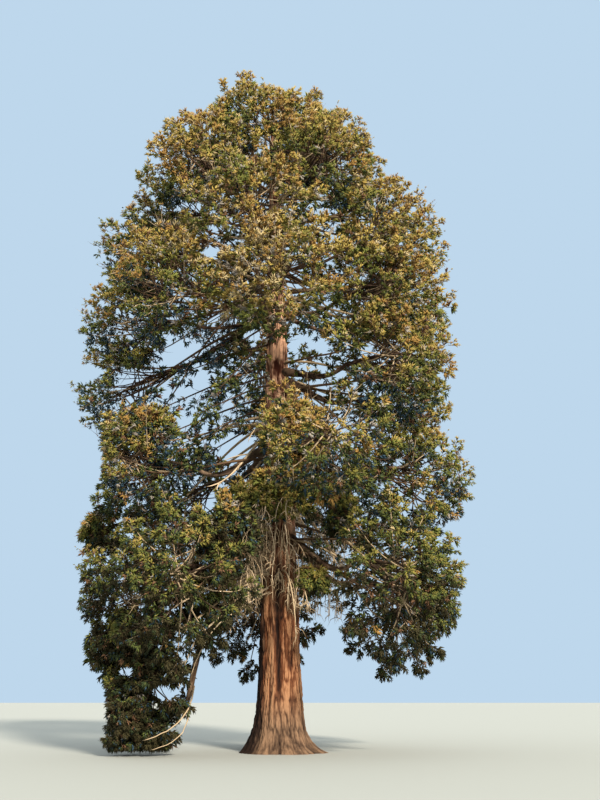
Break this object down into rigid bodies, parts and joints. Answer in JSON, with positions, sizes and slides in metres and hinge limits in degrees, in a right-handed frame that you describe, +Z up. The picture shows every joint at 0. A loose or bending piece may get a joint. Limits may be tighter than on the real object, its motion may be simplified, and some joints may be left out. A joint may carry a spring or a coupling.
{
  "type": "giant sequoia tree",
  "caption": "Tall evergreen conifer: fluted trunk with a root flare, drooping boughs, rounded masses of needle foliage and a bough that reaches the ground.",
  "frame": {"origin": "centre of the flat cut under the trunk, at ground level", "axes": "+Z up, -Y towards the side it is pictured from, +X to the right seen from there"},
  "size_m": [14.5033, 14.5689, 26.4267],
  "materials": {
    "bark": "fibrous, furrowed, red-brown",
    "limb_bark": "weathered grey-brown",
    "foliage": "matt olive to golden needles",
    "dead_twigs": "bleached grey-tan"
  },
  "bodies": {
    "root": {"bough_ground_lower": "limb_bark", "bough_ground_upper": "limb_bark", "bough_low_1": "limb_bark", "bough_low_2": "limb_bark", "bough_low_3": "limb_bark", "bough_low_4": "limb_bark", "bough_low_5": "limb_bark", "bough_middle_1": "limb_bark", "bough_middle_2": "limb_bark", "bough_middle_3": "limb_bark", "bough_middle_4": "limb_bark", "bough_skirt_1": "limb_bark", "bough_skirt_2": "limb_bark", "bough_skirt_3": "limb_bark", "bough_skirt_4": "limb_bark", "bough_skirt_5": "limb_bark", "dead_twigs_left": "dead_twigs", "dead_twigs_right": "dead_twigs", "foliage_broad_1": "foliage", "foliage_broad_2": "foliage", "foliage_broad_3": "foliage", "foliage_broad_4": "foliage", "foliage_broad_5": "foliage", "foliage_broad_6": "foliage", "foliage_crest_1": "foliage", "foliage_crest_2": "foliage", "foliage_crest_3": "foliage", "foliage_crest_4": "foliage", "foliage_ground_left": "foliage", "foliage_high_1": "foliage", "foliage_high_2": "foliage", "foliage_high_3": "foliage", "foliage_high_4": "foliage", "foliage_high_5": "foliage", "foliage_low_1": "foliage", "foliage_low_2": "foliage", "foliage_low_3": "foliage", "foliage_low_4": "foliage", "foliage_low_5": "foliage", "foliage_low_tuft": "foliage", "foliage_middle_1": "foliage", "foliage_middle_2": "foliage", "foliage_middle_3": "foliage", "foliage_middle_4": "foliage", "foliage_shoulder_1": "foliage", "foliage_shoulder_2": "foliage", "foliage_shoulder_3": "foliage", "foliage_shoulder_4": "foliage", "foliage_shoulder_5": "foliage", "foliage_skirt_1": "foliage", "foliage_skirt_2": "foliage", "foliage_skirt_3": "foliage", "foliage_skirt_4": "foliage", "foliage_skirt_5": "foliage", "foliage_top": "foliage", "trunk": "bark"}
  },
  "joints": []
}
